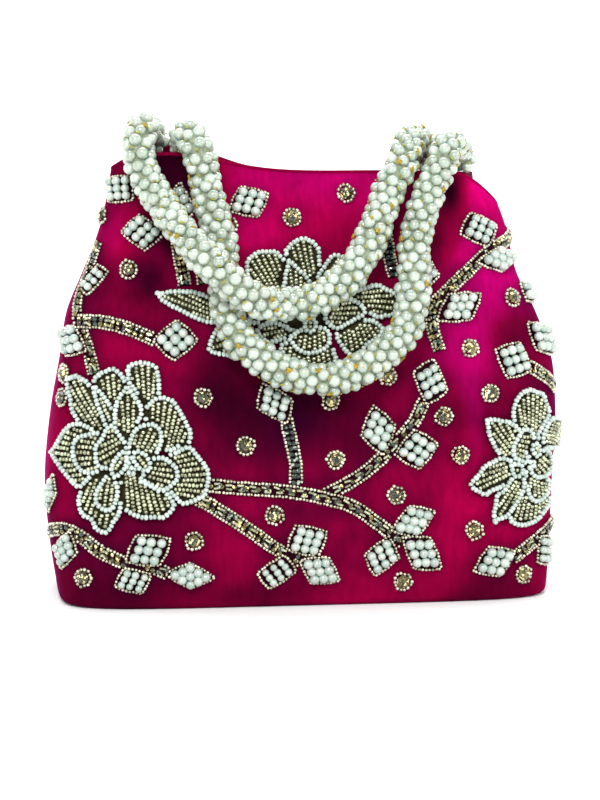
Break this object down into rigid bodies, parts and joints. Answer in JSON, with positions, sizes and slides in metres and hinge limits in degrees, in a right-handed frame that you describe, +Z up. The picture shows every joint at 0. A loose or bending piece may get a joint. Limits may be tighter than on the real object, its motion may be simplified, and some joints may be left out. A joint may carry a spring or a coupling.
{
  "type": "potli bag",
  "caption": "Velvet potli handbag on a flat base, with a beaded flower and vine embroidery round its front and two limp pearl rope handles that lie over the front.",
  "frame": {"origin": "the middle of the flat base, on the surface it stands on", "axes": "+Z up, -Y out of the embroidered front, +X to the right of someone who looks at the front"},
  "size_m": [0.2123, 0.1082, 0.1946],
  "materials": {
    "crimson_velvet": "silk velvet, crimson with a magenta sheen at its folds",
    "satin_lining": "plain dark red satin lining",
    "stiffener_board": "plain grey-brown board inside the base",
    "handle_tape": "woven cotton tape, golden yellow",
    "ivory_pearl": "ivory imitation pearls on a yellow thread core",
    "gold_and_white_beads": "pale gold cut beads with white seed bead outlines",
    "pearl_leaf_and_gold_stem": "white pearls and pale gold seed beads",
    "smoky_crystal": "faceted smoky glass in a ring of gold beads"
  },
  "bodies": {
    "root": {"base_board": "stiffener_board", "flower_centre": "gold_and_white_beads", "flower_left": "gold_and_white_beads", "flower_right": "gold_and_white_beads", "handle_back": "ivory_pearl", "handle_front": "ivory_pearl", "handle_tab_back_left": "handle_tape", "handle_tab_back_right": "handle_tape", "handle_tab_front_left": "handle_tape", "handle_tab_front_right": "handle_tape", "leaf_beside_rope": "pearl_leaf_and_gold_stem", "leaf_left_rim": "pearl_leaf_and_gold_stem", "leaf_left_side": "pearl_leaf_and_gold_stem", "leaf_right_edge": "pearl_leaf_and_gold_stem", "leaf_right_side": "pearl_leaf_and_gold_stem", "leaf_top": "pearl_leaf_and_gold_stem", "leaf_under_rope": "pearl_leaf_and_gold_stem", "leaf_upper_left": "pearl_leaf_and_gold_stem", "lining": "satin_lining", "spray_corner": "pearl_leaf_and_gold_stem", "spray_left": "pearl_leaf_and_gold_stem", "spray_low": "pearl_leaf_and_gold_stem", "spray_middle": "pearl_leaf_and_gold_stem", "spray_right": "pearl_leaf_and_gold_stem", "spray_right_corner": "pearl_leaf_and_gold_stem", "spray_right_low": "pearl_leaf_and_gold_stem", "spray_top_left": "pearl_leaf_and_gold_stem", "spray_top_right": "pearl_leaf_and_gold_stem", "stud_01": "smoky_crystal", "stud_02": "smoky_crystal", "stud_03": "smoky_crystal", "stud_04": "smoky_crystal", "stud_05": "smoky_crystal", "stud_06": "smoky_crystal", "stud_07": "smoky_crystal", "stud_08": "smoky_crystal", "stud_09": "smoky_crystal", "stud_10": "smoky_crystal", "stud_11": "smoky_crystal", "stud_12": "smoky_crystal", "stud_13": "smoky_crystal", "stud_14": "smoky_crystal", "stud_15": "smoky_crystal", "stud_16": "smoky_crystal", "stud_17": "smoky_crystal", "stud_18": "smoky_crystal", "stud_19": "smoky_crystal", "stud_20": "smoky_crystal", "stud_21": "smoky_crystal", "stud_22": "smoky_crystal", "stud_23": "smoky_crystal", "stud_24": "smoky_crystal", "velvet_body": "crimson_velvet"}
  },
  "joints": []
}
